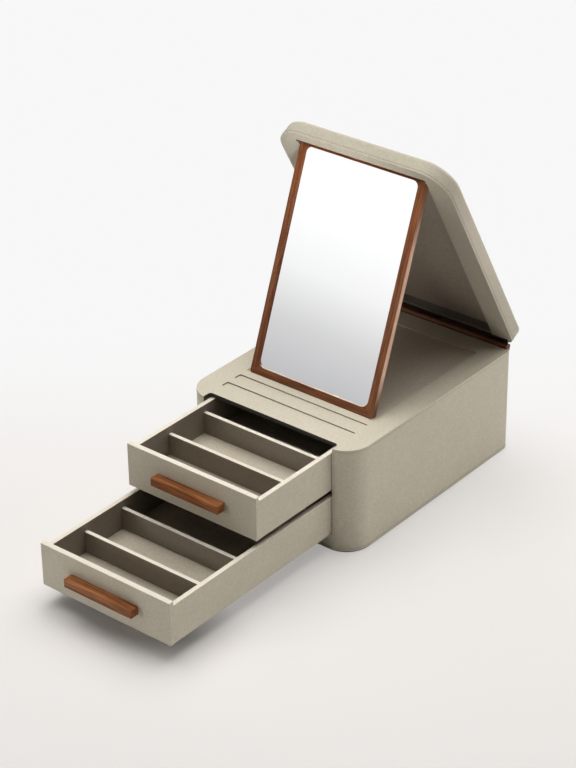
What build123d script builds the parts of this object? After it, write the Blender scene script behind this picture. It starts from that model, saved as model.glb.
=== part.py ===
from build123d import *
import math
import os

# Vanity box: a leather-covered wooden case with two drawers on full-extension slides, a padded lid
# on a wooden knuckle hinge, and a framed mirror that hangs in the lid and stands on the deck.
# Millimetres. Origin at the middle of the underside; X to the right, Y to the back, Z up.

# Case
case_width = 240.0
case_depth = 305.0
case_height = 133.0
case_front_radius = 32.0
case_rear_radius = 9.0
leather_thickness = 1.2
hem_height = 1.6
base_thickness = 3.0
panel_thickness = 8.0
rear_panel_thickness = 13.0
wall_thickness = 6.0
batten_height = 12.0
jamb_width = 27.5
deck_setback = 12.0
post_depth = 36.0
sill_height = 21.3
floor_thickness = 6.0
shelf_thickness = 6.9
deck_board_thickness = 3.2
recess_depth = 1.6

# Grooves and recess in the deck
deck_front_border = 19.75
groove_width = 11.1
groove_bar_width = 11.0
deck_rear_border = 32.3

# Drawers
drawer_front_thickness = 6.8
drawer_front_gap = 0.2
drawer_front_side_gap = 0.5
drawer_front_spacing = 3.1
drawer_lift = 1.0
drawer_side_gap = 1.0
drawer_side_drop = 5.8
drawer_board = 5.8
drawer_bottom_rise = 9.0
drawer_bottom_thickness = 3.0
drawer_back_gap = 0.3
divider_thickness = 5.0
divider_drop = 9.0
divider_offsets = (63.2, 122.9)
drawer_kept_inside = 9.1
upper_drawer_out = 133.6
stop_radius = 4.0
stop_thickness = 2.0
stop_inset = 32.5

# Handles
handle_width = 96.0
handle_depth = 12.0
handle_height = 10.2
handle_edge_radius = 0.8
handle_screw_inset = 16.0
handle_screw_radius = 1.6
handle_screw_bite = 8.0
screw_head_radius = 3.2
screw_head_height = 1.5

# Slides
slide_inset = 22.5
slide_front_setback = 2.0
slide_rear_setback = 14.8
slide_wall = 1.0
slide_half_width = 9.0
slide_play = 0.3
slide_height = 7.0

# Lid
lid_setback = 1.0
lid_thickness = 20.0
lid_gap = 7.0
lid_front_radius = 35.0
lid_rear_radius = 9.0
lid_edge_radius = 5.5
lid_rail_height = 10.0
lid_lining_thickness = 0.6
lid_side_border = 28.7
lid_front_border = 12.0
lid_rear_border = 10.0
lid_full_opening = 100.0

# Hinge
pivot_inside_case = 0.7
pivot_above_deck = 1.0
knuckle_radius = 4.1
knuckle_gap = 0.4
hinge_pin_radius = 1.5
pressed_fit = 0.02
running_fit = 0.06
hinge_end_setback = 5.0
end_knuckle_length = 27.0
middle_knuckle_half_length = 14.0
case_rail_thickness = 5.0
case_rail_height = 17.5
case_rail_drop = 3.5
case_web_gap = 0.2
case_web_rear = 3.0
rebate_gap = 0.2
lid_rail_end_setback = 3.0
lid_rail_thickness = 4.5
lid_rail_inset = 0.5
lid_rail_drop = 1.7
lid_rail_rise = 13.0
lid_web_front = 4.0
hinge_screw_radius = 1.5
hinge_screw_drop = 15.0
hinge_screw_inset = 17.0
hinge_inner_screw = 33.0
hinge_screw_length = 12.0
lid_screw_inset = 32.0
lid_inner_screw = 30.0
lid_screw_rise = 6.5
lid_screw_length = 9.0

# Mirror
mirror_side_gap = 2.3
mirror_thickness = 8.0
mirror_pivot_setback = 8.5
mirror_pivot_depth = 3.0
mirror_pivot_behind_face = 2.0
mirror_fold_gap = 0.35
mirror_toe_gap = 0.31
mirror_foot_lift = 0.2
mirror_stile = 10.0
mirror_bottom_rail = 11.2
mirror_top_rail = 5.0
mirror_foot_radius = 4.0
sight_bottom_radius = 9.0
sight_top_radius = 7.0
sight_bevel = 0.8
mirror_lip = 1.5
rebate_overlap = 2.5
rebate_play = 0.3
glass_thickness = 3.0
backing_thickness = 2.5
mirror_pin_radius = 1.2
mirror_pin_bite = 6.0
mirror_pin_end_gap = 0.1
plate_thickness = 1.5
plate_half_width = 4.5
plate_setback = 0.3
plate_headroom = 2.0
plate_corner = 1.5

# Derived places: case
half_width = case_width / 2
front = -case_depth / 2
rear = case_depth / 2
core_half_width = half_width - leather_thickness
core_rear = rear - leather_thickness
panel_front = core_rear - rear_panel_thickness
deck_front = front + deck_setback
post_rear = front + post_depth
recess_floor = case_height - recess_depth
deck_board_low = recess_floor - deck_board_thickness
floor_low = sill_height - floor_thickness
opening_half_width = half_width - jamb_width
wall_outer = opening_half_width + wall_thickness
panel_inner = core_half_width - panel_thickness
groove_1_front = deck_front + deck_front_border
groove_1_rear = groove_1_front + groove_width
groove_2_front = groove_1_rear + groove_bar_width
groove_2_rear = groove_2_front + groove_width
recess_front = groove_2_rear + groove_bar_width
recess_rear = rear - deck_rear_border

# Derived places: drawers. The two fronts share the height above the sill, the upper flush with the deck.
drawer_front_height = (case_height - sill_height - drawer_lift - drawer_front_spacing) / 2
drawer_side_height = drawer_front_height - drawer_side_drop
shelf_top = case_height - drawer_front_height - drawer_lift
shelf_bottom = shelf_top - shelf_thickness
drawer_half_width = opening_half_width - drawer_front_side_gap
drawer_box_half_width = opening_half_width - drawer_side_gap
drawer_closed_front = deck_front - drawer_front_gap - drawer_front_thickness
drawer_closed_rear = panel_front - stop_thickness - drawer_back_gap
drawer_travel = drawer_closed_rear - drawer_closed_front - drawer_kept_inside
stop_half_spacing = opening_half_width - stop_inset
stop_rise = drawer_lift + (drawer_bottom_rise + drawer_side_height) / 2
slide_centre = opening_half_width - slide_inset
slide_closed_front = deck_front + slide_front_setback
slide_closed_rear = panel_front - slide_rear_setback

# Derived places: lid and hinge
lid_half_width = half_width - lid_setback
lid_front = front + lid_setback
lid_rear = rear - lid_setback
lid_low = case_height + lid_gap
lid_top = lid_low + lid_thickness
lid_board_low = lid_low + lid_rail_height
lid_inner_half_width = lid_half_width - lid_side_border
lid_inner_front = lid_front + lid_front_border
lid_inner_rear = lid_rear - lid_rear_border
pivot_y = rear - pivot_inside_case
pivot_z = case_height + pivot_above_deck
hinge_half_width = half_width - hinge_end_setback
lid_rail_half_width = hinge_half_width - lid_rail_end_setback
lid_knuckle_start = middle_knuckle_half_length + knuckle_gap
lid_knuckle_end = hinge_half_width - end_knuckle_length - knuckle_gap
case_rail_top = case_height - case_rail_drop
case_rail_bottom = case_rail_top - case_rail_height
case_rail_front = rear - case_rail_thickness
lid_rail_rear_face = lid_rear - lid_rail_inset
lid_rail_front_face = lid_rail_rear_face - lid_rail_thickness
lid_rail_bottom = lid_low - lid_rail_drop
lid_rail_top = lid_low + lid_rail_rise
hinge_screw_offsets = (hinge_inner_screw, hinge_half_width - hinge_screw_inset)
hinge_screw_height = case_height - hinge_screw_drop
lid_screw_offsets = (lid_inner_screw, lid_rail_half_width - lid_screw_inset)

# The mirror just fills the lid's recess when folded. Its length and the place of its toe in the deck's
# recess then fix how far the lid stands open on it.
mirror_half_width = lid_inner_half_width - mirror_side_gap
mirror_pivot_closed_y = lid_inner_front + mirror_pivot_setback
mirror_pivot_closed_z = lid_low + mirror_pivot_depth
mirror_reach = lid_inner_rear - mirror_fold_gap - mirror_pivot_closed_y
toe_y = recess_front + mirror_toe_gap
toe_z = recess_floor + mirror_foot_lift
pivot_to_mirror = math.hypot(pivot_y - mirror_pivot_closed_y, mirror_pivot_closed_z - pivot_z)
mirror_to_toe = math.hypot(mirror_reach, mirror_pivot_behind_face)
pivot_to_toe = math.hypot(pivot_y - toe_y, toe_z - pivot_z)
squares = pivot_to_mirror ** 2 + pivot_to_toe ** 2 - mirror_to_toe ** 2
pivot_corner = math.acos(squares / (2 * pivot_to_mirror * pivot_to_toe))
toe_slope = math.atan2(toe_z - pivot_z, pivot_y - toe_y)
closed_slope = math.atan2(mirror_pivot_closed_z - pivot_z, pivot_y - mirror_pivot_closed_y)
open_slope = toe_slope + pivot_corner
lid_opening = math.degrees(open_slope - closed_slope)
lid_more = lid_full_opening - lid_opening
mirror_pivot_y = pivot_y - pivot_to_mirror * math.cos(open_slope)
mirror_pivot_z = pivot_z + pivot_to_mirror * math.sin(open_slope)
toe_to_pivot_angle = math.atan2(mirror_pivot_y - toe_y, mirror_pivot_z - toe_z)
mirror_lean = math.degrees(toe_to_pivot_angle - math.atan2(mirror_pivot_behind_face, mirror_reach))
mirror_spread = 90 - lid_opening + mirror_lean


def block(x_low, x_high, y_low, y_high, z_low, z_high):
    """A box between two corners."""
    corner = (Align.MIN, Align.MIN, Align.MIN)
    return Pos(x_low, y_low, z_low) * Box(x_high - x_low, y_high - y_low, z_high - z_low, align=corner)


def rod_x(radius, x_low, x_high, y, z):
    """A round rod along X."""
    stand = (Align.CENTER, Align.CENTER, Align.MIN)
    return Pos(x_low, y, z) * Rot(0, 90, 0) * Cylinder(radius, x_high - x_low, align=stand)


def rod_y(radius, y_low, y_high, x, z):
    """A round rod along Y."""
    stand = (Align.CENTER, Align.CENTER, Align.MIN)
    return Pos(x, y_low, z) * Rot(-90, 0, 0) * Cylinder(radius, y_high - y_low, align=stand)


def both_sides(shape):
    """A shape and its twin across the middle plane."""
    return shape + mirror(shape, about=Plane.YZ)


def outline(width, depth, front_radius, rear_radius, inset):
    """A plan with large front corners and small rear corners, moved in by inset."""
    face = Rectangle(width - 2 * inset, depth - 2 * inset)
    face = fillet(face.vertices().sort_by(Axis.Y)[:2], front_radius - inset)
    return fillet(face.vertices().sort_by(Axis.Y)[-2:], rear_radius - inset)


def case_body(inset, z_low, z_high):
    """The case's plan between two heights."""
    face = outline(case_width, case_depth, case_front_radius, case_rear_radius, inset)
    return Pos(0, 0, z_low) * extrude(face, amount=z_high - z_low)


def lid_body(inset):
    """The closed lid with its rounded outer edge, moved in by inset."""
    face = outline(2 * lid_half_width, lid_rear - lid_front, lid_front_radius, lid_rear_radius, inset)
    body = Pos(0, 0, lid_low) * extrude(face, amount=lid_thickness - inset)
    top_edges = body.faces().sort_by(Axis.Z)[-1].edges()
    return fillet(top_edges, lid_edge_radius - inset)


def opened(shape):
    """A piece of the closed lid, turned about the hinge pin to where the lid stands open."""
    return Pos(0, pivot_y, pivot_z) * Rot(-lid_opening, 0, 0) * Pos(0, -pivot_y, -pivot_z) * shape


def screw(radius, y_head, length, x, z):
    """A flat-headed screw driven forward, its head flush at y_head."""
    shank = rod_y(radius, y_head - length, y_head, x, z)
    return shank + rod_y(screw_head_radius, y_head - screw_head_height, y_head, x, z)


def screw_row(radius, y_head, length, offsets, z):
    """Screws at equal distances either side of the middle."""
    row = Part()
    for x in offsets:
        row += both_sides(screw(radius, y_head, length, x, z))
    return row


# ---- case ----

def case_screws():
    return screw_row(hinge_screw_radius, rear, hinge_screw_length, hinge_screw_offsets, hinge_screw_height)


def case_rebate():
    """The step along the top of the case's back that takes the hinge rail and its knuckles."""
    half = hinge_half_width + rebate_gap
    return block(-half, half, case_rail_front, pivot_y + knuckle_radius, case_rail_bottom, lid_low)


def base_plate():
    return case_body(leather_thickness, 0, base_thickness)


def case_leather():
    shell = case_body(0, hem_height, case_height) - case_body(leather_thickness, hem_height, case_height)
    doorway = block(-opening_half_width, opening_half_width, front, post_rear, sill_height, case_height)
    return shell - doorway - case_rebate()


def front_rail():
    space = block(-opening_half_width, opening_half_width, front, deck_front, base_thickness, sill_height)
    return case_body(leather_thickness, base_thickness, sill_height) & space


def front_post():
    """Right-hand jamb, rounded outside, stepped under the deck board."""
    tall = block(opening_half_width, half_width, front, deck_front, base_thickness, recess_floor)
    low = block(opening_half_width, half_width, deck_front, post_rear, base_thickness, deck_board_low)
    return case_body(leather_thickness, base_thickness, recess_floor) & (tall + low)


def side_panel():
    return block(panel_inner, core_half_width, post_rear, panel_front, base_thickness, deck_board_low)


def drawer_wall():
    return block(opening_half_width, wall_outer, post_rear, panel_front, base_thickness, deck_board_low)


def wall_battens():
    low_top = base_thickness + batten_height
    low = block(wall_outer, panel_inner, post_rear, panel_front, base_thickness, low_top)
    high_bottom = deck_board_low - batten_height
    high = block(wall_outer, panel_inner, post_rear, panel_front, high_bottom, deck_board_low)
    return both_sides(low) + both_sides(high)


def rear_panel():
    space = block(-half_width, half_width, panel_front, rear, base_thickness, deck_board_low)
    panel = case_body(leather_thickness, base_thickness, deck_board_low) & space
    return panel - case_rebate() - case_screws()


def floor_panel():
    return block(-opening_half_width, opening_half_width, deck_front, panel_front, floor_low, sill_height)


def shelf():
    return block(-opening_half_width, opening_half_width, deck_front, panel_front, shelf_bottom, shelf_top)


def deck_board():
    space = block(-half_width, half_width, deck_front, rear, deck_board_low, recess_floor)
    return (case_body(leather_thickness, deck_board_low, recess_floor) & space) - case_rebate()


def deck_border_side():
    space = block(opening_half_width, half_width, front, rear, recess_floor, case_height)
    return (case_body(leather_thickness, recess_floor, case_height) & space) - case_rebate()


def deck_strip(y_low, y_high):
    return block(-opening_half_width, opening_half_width, y_low, y_high, recess_floor, case_height)


def drawer_stops():
    stops = Part()
    stop_face = panel_front - stop_thickness
    for z in (sill_height + stop_rise, shelf_top + stop_rise):
        stops += both_sides(rod_y(stop_radius, stop_face, panel_front, stop_half_spacing, z))
    return stops


# ---- slides ----

def channel(half, z_low, z_high, base_is_low, y_low, y_high):
    """A pair of thin U-shaped rails, one either side of the middle."""
    body = block(slide_centre - half, slide_centre + half, y_low, y_high, z_low, z_high)
    hollow_low = z_low + slide_wall if base_is_low else z_low
    hollow_high = z_high if base_is_low else z_high - slide_wall
    inner = half - slide_wall
    hollow = block(slide_centre - inner, slide_centre + inner, y_low, y_high, hollow_low, hollow_high)
    return both_sides(body - hollow)


middle_half = slide_half_width - slide_wall - slide_play
runner_half = middle_half - slide_wall - slide_play
middle_rise = slide_wall + slide_play
runner_rise = middle_rise + slide_wall + slide_play
runner_top = drawer_lift + drawer_bottom_rise


def slide_rails(floor):
    top = floor + slide_height
    return channel(slide_half_width, floor, top, True, slide_closed_front, slide_closed_rear)


def slide_middles(floor, drawer_out):
    low = floor + middle_rise
    y_low = slide_closed_front - drawer_out / 2
    y_high = slide_closed_rear - drawer_out / 2
    return channel(middle_half, low, low + slide_height, True, y_low, y_high)


def slide_runners(floor, drawer_out):
    y_low = slide_closed_front - drawer_out
    y_high = slide_closed_rear - drawer_out
    return channel(runner_half, floor + runner_rise, floor + runner_top, False, y_low, y_high)


# ---- drawers ----

def drawer(floor, out):
    """The pieces of one drawer, pulled out by a distance, over the panel it runs on."""
    low = floor + drawer_lift
    face = drawer_closed_front - out
    inner_face = face + drawer_front_thickness
    end = drawer_closed_rear - out
    end_inner = end - drawer_board
    inner_half = drawer_box_half_width - drawer_board
    bottom_low = low + drawer_bottom_rise
    bottom_top = bottom_low + drawer_bottom_thickness
    side_top = low + drawer_side_height
    handle_z = low + drawer_front_height / 2
    handle_low = handle_z - handle_height / 2
    handle_top = handle_z + handle_height / 2
    handle_half = handle_width / 2

    screw_x = handle_half - handle_screw_inset
    shank = rod_y(handle_screw_radius, face - handle_screw_bite, inner_face, screw_x, handle_z)
    head_end = inner_face + screw_head_height
    head = rod_y(screw_head_radius, inner_face, head_end, screw_x, handle_z)
    screws = both_sides(shank + head)

    panel = block(-drawer_half_width, drawer_half_width, face, inner_face, low, low + drawer_front_height)
    side = block(inner_half, drawer_box_half_width, inner_face, end, low, side_top)
    bar = block(-handle_half, handle_half, face - handle_depth, face, handle_low, handle_top)
    bar = fillet(bar.faces().sort_by(Axis.Y)[0].edges(), handle_edge_radius)

    divider_top = side_top - divider_drop
    dividers = Part()
    for offset in divider_offsets:
        centre = face + offset
        y_low = centre - divider_thickness / 2
        dividers += block(-inner_half, inner_half, y_low, y_low + divider_thickness, bottom_top, divider_top)

    return {
        "front": panel - screws,
        "side_right": side,
        "side_left": mirror(side, about=Plane.YZ),
        "back": block(-inner_half, inner_half, end_inner, end, bottom_low, side_top),
        "bottom": block(-inner_half, inner_half, inner_face, end_inner, bottom_low, bottom_top),
        "dividers": dividers,
        "handle": bar - screws,
        "handle_screws": screws,
        "slide_runners": slide_runners(floor, out),
    }


# ---- hinge ----

def case_knuckle_spans():
    inner_end = hinge_half_width - end_knuckle_length
    return (
        (-hinge_half_width, -inner_end),
        (-middle_knuckle_half_length, middle_knuckle_half_length),
        (inner_end, hinge_half_width),
    )


def lid_knuckle_spans():
    return ((-lid_knuckle_end, -lid_knuckle_start), (lid_knuckle_start, lid_knuckle_end))


def hinge_rail_case():
    web_front = case_rail_front + case_web_gap
    web_low = case_rail_top - pivot_inside_case
    half = hinge_half_width
    space = block(-half, half, case_rail_front, rear, case_rail_bottom, case_rail_top)
    rail = case_body(0, case_rail_bottom, case_rail_top) & space
    for x_low, x_high in case_knuckle_spans():
        rail += block(x_low, x_high, web_front, pivot_y + case_web_rear, web_low, pivot_z)
        rail += rod_x(knuckle_radius, x_low, x_high, pivot_y, pivot_z)
    bore = rod_x(hinge_pin_radius + pressed_fit, -hinge_half_width, hinge_half_width, pivot_y, pivot_z)
    return rail - bore - case_screws()


def hinge_pin():
    return rod_x(hinge_pin_radius, -hinge_half_width, hinge_half_width, pivot_y, pivot_z)


def lid_screws():
    head = lid_rail_rear_face
    return screw_row(hinge_screw_radius, head, lid_screw_length, lid_screw_offsets, lid_low + lid_screw_rise)


def lid_rebate():
    """The step along the lid's back that takes its hinge rail."""
    half = lid_rail_half_width + rebate_gap
    return block(-half, half, lid_rail_front_face, rear, lid_rail_bottom, lid_rail_top)


def hinge_rail_lid():
    half = lid_rail_half_width
    rail = block(-half, half, lid_rail_front_face, lid_rail_rear_face, lid_rail_bottom, lid_rail_top)
    for x_low, x_high in lid_knuckle_spans():
        rail += block(x_low, x_high, pivot_y - lid_web_front, lid_rail_rear_face, pivot_z, lid_low)
        rail += rod_x(knuckle_radius, x_low, x_high, pivot_y, pivot_z)
    bore = rod_x(hinge_pin_radius + running_fit, -hinge_half_width, hinge_half_width, pivot_y, pivot_z)
    return rail - bore - lid_screws()


# ---- lid, drawn closed ----

def lid_slab(x_low, x_high, y_low, y_high, z_low, z_high):
    """The part of the lid's wooden core inside a box, behind which the hinge rail is let in."""
    return (lid_body(leather_thickness) & block(x_low, x_high, y_low, y_high, z_low, z_high)) - lid_rebate()


def lid_leather():
    return lid_body(0) - lid_body(leather_thickness) - lid_rebate()


def lid_board():
    return lid_slab(-half_width, half_width, front, rear, lid_board_low, lid_top)


def lid_rail_side():
    return lid_slab(lid_inner_half_width, half_width, front, rear, lid_low, lid_board_low)


def lid_rail_front():
    half = lid_inner_half_width
    return lid_slab(-half, half, front, lid_inner_front, lid_low, lid_board_low)


def lid_rail_rear():
    half = lid_inner_half_width
    return lid_slab(-half, half, lid_inner_rear, rear, lid_low, lid_board_low) - lid_screws()


def lid_lining():
    half = lid_inner_half_width
    low = lid_board_low - lid_lining_thickness
    return block(-half, half, lid_inner_front, lid_inner_rear, low, lid_board_low)


def mirror_pivot_plates():
    x_low = lid_inner_half_width - plate_thickness
    y_low = mirror_pivot_closed_y - plate_half_width
    y_high = mirror_pivot_closed_y + plate_half_width
    z_low = lid_low + plate_setback
    plate = block(x_low, lid_inner_half_width, y_low, y_high, z_low, lid_board_low - plate_headroom)
    plate = fillet(plate.edges().filter_by(Axis.X), plate_corner)
    hole_radius = mirror_pin_radius + running_fit
    hole = rod_x(hole_radius, x_low, lid_inner_half_width, mirror_pivot_closed_y, mirror_pivot_closed_z)
    return both_sides(plate - hole)


# ---- mirror, drawn upright: Y is the depth behind its face, Z the height from its toe ----

def upright(face, y_low, y_high):
    """A flat outline in X and height, given a thickness."""
    return Rot(90, 0, 0) * Pos(0, 0, -y_high) * extrude(face, amount=y_high - y_low)


def sight_outline(grow):
    """The glass that shows between the frame's rails, enlarged all round."""
    half = mirror_half_width - mirror_stile + grow
    low = mirror_bottom_rail - grow
    high = mirror_reach + mirror_thickness / 2 - mirror_top_rail + grow
    face = Pos(0, (low + high) / 2) * Rectangle(2 * half, high - low)
    face = fillet(face.vertices().sort_by(Axis.Y)[:2], sight_bottom_radius + grow)
    return fillet(face.vertices().sort_by(Axis.Y)[-2:], sight_top_radius + grow)


def mirror_frame():
    face = Pos(0, mirror_reach / 2) * Rectangle(2 * mirror_half_width, mirror_reach)
    face = fillet(face.vertices().sort_by(Axis.Y)[:2], mirror_foot_radius)
    round_end = rod_x(
        mirror_thickness / 2, -mirror_half_width, mirror_half_width, mirror_thickness / 2, mirror_reach
    )
    frame = upright(face, 0, mirror_thickness) + round_end
    frame -= upright(sight_outline(0), 0, mirror_thickness)
    frame = chamfer(frame.faces().sort_by(Axis.Y)[0].inner_wires()[0].edges(), sight_bevel)
    frame -= upright(sight_outline(rebate_overlap), mirror_lip, mirror_thickness)
    below = block(-half_width, half_width, -case_depth, case_depth, -case_height, 0)
    frame -= Rot(mirror_lean, 0, 0) * below
    return frame - mirror_pivot_pins()


def mirror_pivot_pins():
    x_low = mirror_half_width - mirror_pin_bite
    x_high = lid_inner_half_width - mirror_pin_end_gap
    return both_sides(rod_x(mirror_pin_radius, x_low, x_high, mirror_pivot_behind_face, mirror_reach))


def mirror_glass():
    return upright(sight_outline(rebate_overlap - rebate_play), mirror_lip, mirror_lip + glass_thickness)


def mirror_backing():
    low = mirror_lip + glass_thickness
    return upright(sight_outline(rebate_overlap - rebate_play), low, low + backing_thickness)


def standing(shape):
    """A piece of the upright mirror, leaned back with its foot in the recess."""
    return Pos(0, toe_y, toe_z) * Rot(-mirror_lean, 0, 0) * shape


def case_pieces():
    post = front_post()
    panel = side_panel()
    wall = drawer_wall()
    border = deck_border_side()
    return {
        "base_plate": base_plate(),
        "case_leather": case_leather(),
        "front_rail": front_rail(),
        "front_post_right": post,
        "front_post_left": mirror(post, about=Plane.YZ),
        "side_panel_right": panel,
        "side_panel_left": mirror(panel, about=Plane.YZ),
        "drawer_wall_right": wall,
        "drawer_wall_left": mirror(wall, about=Plane.YZ),
        "wall_battens": wall_battens(),
        "rear_panel": rear_panel(),
        "floor_panel": floor_panel(),
        "shelf": shelf(),
        "deck_board": deck_board(),
        "deck_border_right": border,
        "deck_border_left": mirror(border, about=Plane.YZ),
        "deck_border_front": deck_strip(deck_front, groove_1_front),
        "groove_bar_front": deck_strip(groove_1_rear, groove_2_front),
        "groove_bar_rear": deck_strip(groove_2_rear, recess_front),
        "deck_border_rear": deck_strip(recess_rear, case_rail_front),
        "drawer_stops": drawer_stops(),
        "lower_slide_rails": slide_rails(sill_height),
        "upper_slide_rails": slide_rails(shelf_top),
        "lower_slide_middles": slide_middles(sill_height, drawer_travel),
        "upper_slide_middles": slide_middles(shelf_top, upper_drawer_out),
        "hinge_rail_case": hinge_rail_case(),
        "hinge_case_screws": case_screws(),
        "hinge_pin": hinge_pin(),
    }


def lid_pieces():
    side = lid_rail_side()
    pieces = {
        "lid_leather": lid_leather(),
        "lid_board": lid_board(),
        "lid_rail_right": side,
        "lid_rail_left": mirror(side, about=Plane.YZ),
        "lid_rail_front": lid_rail_front(),
        "lid_rail_rear": lid_rail_rear(),
        "lid_lining": lid_lining(),
        "hinge_rail_lid": hinge_rail_lid(),
        "hinge_lid_screws": lid_screws(),
        "mirror_pivot_plates": mirror_pivot_plates(),
    }
    return {name: opened(piece) for name, piece in pieces.items()}


def mirror_pieces():
    pieces = {
        "mirror_frame": mirror_frame(),
        "mirror_glass": mirror_glass(),
        "mirror_backing": mirror_backing(),
        "mirror_pivot_pins": mirror_pivot_pins(),
    }
    return {name: standing(piece) for name, piece in pieces.items()}


def drawer_pieces(level, floor, out):
    return {level + "_drawer_" + name: piece for name, piece in drawer(floor, out).items()}


nodes = case_pieces()
nodes.update(lid_pieces())
nodes.update(mirror_pieces())
nodes.update(drawer_pieces("lower", sill_height, drawer_travel))
nodes.update(drawer_pieces("upper", shelf_top, upper_drawer_out))

os.makedirs("parts", exist_ok=True)
for name, piece in nodes.items():
    export_step(piece, "parts/" + name + ".step")

print("lid pivot", pivot_y, pivot_z)
print("mirror pivot", mirror_pivot_y, mirror_pivot_z)
print("lid opening", lid_opening, "mirror lean", mirror_lean, "spread", mirror_spread, "reach", mirror_reach)
print("lid can open further by", lid_more, "ratio", mirror_spread / lid_more)
print("drawer travel", drawer_travel, "upper drawer out", upper_drawer_out)
print("nodes", len(nodes))
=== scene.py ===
import math

import bmesh
import bpy
from mathutils import Matrix, Vector


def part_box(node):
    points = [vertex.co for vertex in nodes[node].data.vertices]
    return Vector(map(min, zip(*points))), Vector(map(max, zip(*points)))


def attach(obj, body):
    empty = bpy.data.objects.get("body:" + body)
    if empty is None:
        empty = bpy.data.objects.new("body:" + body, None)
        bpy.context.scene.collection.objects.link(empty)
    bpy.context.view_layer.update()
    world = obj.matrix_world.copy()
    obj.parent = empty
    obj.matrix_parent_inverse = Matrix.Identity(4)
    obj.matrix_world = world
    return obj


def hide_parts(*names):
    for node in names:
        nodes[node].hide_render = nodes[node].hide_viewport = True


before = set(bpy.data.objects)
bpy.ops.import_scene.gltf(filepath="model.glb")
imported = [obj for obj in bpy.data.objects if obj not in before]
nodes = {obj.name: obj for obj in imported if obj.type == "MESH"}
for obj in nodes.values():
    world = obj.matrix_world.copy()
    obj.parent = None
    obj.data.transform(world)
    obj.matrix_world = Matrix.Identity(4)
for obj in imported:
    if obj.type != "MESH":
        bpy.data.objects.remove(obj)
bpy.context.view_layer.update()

# ---- sizes in millimetres, the same as the model's ----
MM = 0.001

# case
HALF_W = 120.0
FRONT = -152.5
REAR = 152.5
TOP = 133.0
FRONT_RADIUS = 32.0
REAR_RADIUS = 9.0
SKIN = 1.2
HEM = 1.6
BASE_TOP = 3.0
SILL = 21.3
POST_REAR = -116.5

# deck: its opening for the drawers, its two grooves and its recess, as places along Y
OPENING = 92.5
OPENING_CORNER = 4.0
DECK_FRONT = -140.5
DECK_UNDER = 128.2
RECESS_FLOOR = 131.4
RECESS_CORNER = 2.5
GROOVES = ((-120.75, -109.65), (-98.65, -87.55))
RECESS = (-76.55, 120.2)

# rebate for the hinge rail in the case: half width, front and low end
CASE_REBATE = (115.2, 147.5, 112.0)

# lid, closed
LID_HALF = 119.0
LID_END = 151.5
LID_LOW = 140.0
LID_THICK = 20.0
LID_RADIUS = 35.0
LID_EDGE = 5.5
LID_INNER_HALF = 90.3
LID_INNER = (-139.5, 141.5)
LID_INNER_CORNER = 2.0
LID_RECESS_DEPTH = 9.4

# rebate for the hinge rail in the lid: half width, front and high end
LID_REBATE = (112.2, 146.5, 153.0)

# hinge pin, as Y and Z, and how far the lid stands open, in degrees
PIVOT = (151.8, 134.0)
LID_OPENING = 60.8694

# mirror: its lean in degrees, its toe as Y and Z, and its frame and glass
MIRROR_LEAN = 20.7372
TOE = (-76.24, 131.6)
MIRROR_REACH = 272.15
MIRROR_HALF = 88.0
MIRROR_THICK = 8.0
FOOT_CORNER = 4.0
FRAME_TOP_CORNER = 5.0
SIGHT_HALF = 78.0
SIGHT_LOW = 11.2
SIGHT_HIGH = 271.15
SIGHT_LOW_CORNER = 9.0
SIGHT_HIGH_CORNER = 7.0
GLASS_FACE = 1.5
GLASS_BACK = 4.5
BACKING_BACK = 7.0
GLASS_OVERLAP = 2.2

DIVIDER = 5.0

# ---- sizes that only the look has, in millimetres ----

# how far cutters reach past a solid and into each other
CUTTER_EXCESS = 5.0
FRONT_EXCESS = 20.0
SMALL_EXCESS = 1.0
OVERLAP = 2.0
MOUTH_OVERLAP = 1.0

# rounded edges
LEATHER_TURN = 0.75
LID_TURN = 0.9
BOARD_EDGE = 0.5
FRONT_EDGE = 0.6
FLOOR_EDGE = 0.3
PLATE_EDGE = 0.3
LINING_EDGE = 0.2
STRIP_EDGE = 0.05
POST_CORNER = 0.5

# how far below the deck board the upper drawer front's rear corners start to be round
CORNER_DROP = 0.5

# stitching: its distance from the edges, and from the opening and the jambs
STITCH_FROM_EDGE = 3.2
LID_STITCH_FROM_EDGE = 3.0
TOP_STITCH_GAP = 2.0
JAMB_STITCH_INSET = 2.4
JAMB_STITCH_LOW = SILL - 12.0
JAMB_STITCH_HIGH = TOP - 4.5

# lid lining: the gap round it, how far it stands out of the recess's floor and how deep it is sunk
LINING_GAP = 0.2
LINING_PROUD = 0.35
LINING_SUNK = 0.2

# painted shade: a dark strip along the lid's rear border, and a dark strip that fills the gap of
# the hinge, in the closed lid
REAR_STRIP_GAP = 0.8
REAR_STRIP_DEPTH = 0.15
HINGE_GAP_SHADE = ((-112.0, 150.6, 138.2), (112.0, 151.4, 138.7))

# painted highlight band of lighter walnut along the knuckles, painted near-black shade round it:
# the direction across it as Y and Z, how far its middle lies from the pin, half its width and its
# fade
KNUCKLE_BAND_SIDE = (0.599, 0.801)
KNUCKLE_BAND_MIDDLE = -0.6
KNUCKLE_BAND_HALF = 1.7
KNUCKLE_BAND_FADE = 0.4

# mirror frame: how far the painted highlight on the bevel, the painted shadow along the foot and
# the painted highlight on the lit side reach
BEVEL_HIGHLIGHT_REACH = 2.0
FOOT_SHADOW_REACH = 1.7
LIT_SIDE = 0.5
LIT_SIDE_LOW = 5.0

# ---- other fixed values ----
TINY = 1e-6
WELD = 1e-7
LOOKS_THAT_WAY = 0.6
FACE_WEIGHT = 80
SKIN_ANGLE = 40.0


# ---- mesh helpers ----

def arc(cx, cy, radius, start, end, count):
    """Points along an arc, angles in degrees."""
    points = []
    for i in range(count + 1):
        a = math.radians(start + (end - start) * i / count)
        points.append((cx + radius * math.cos(a), cy + radius * math.sin(a)))
    return points


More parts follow.
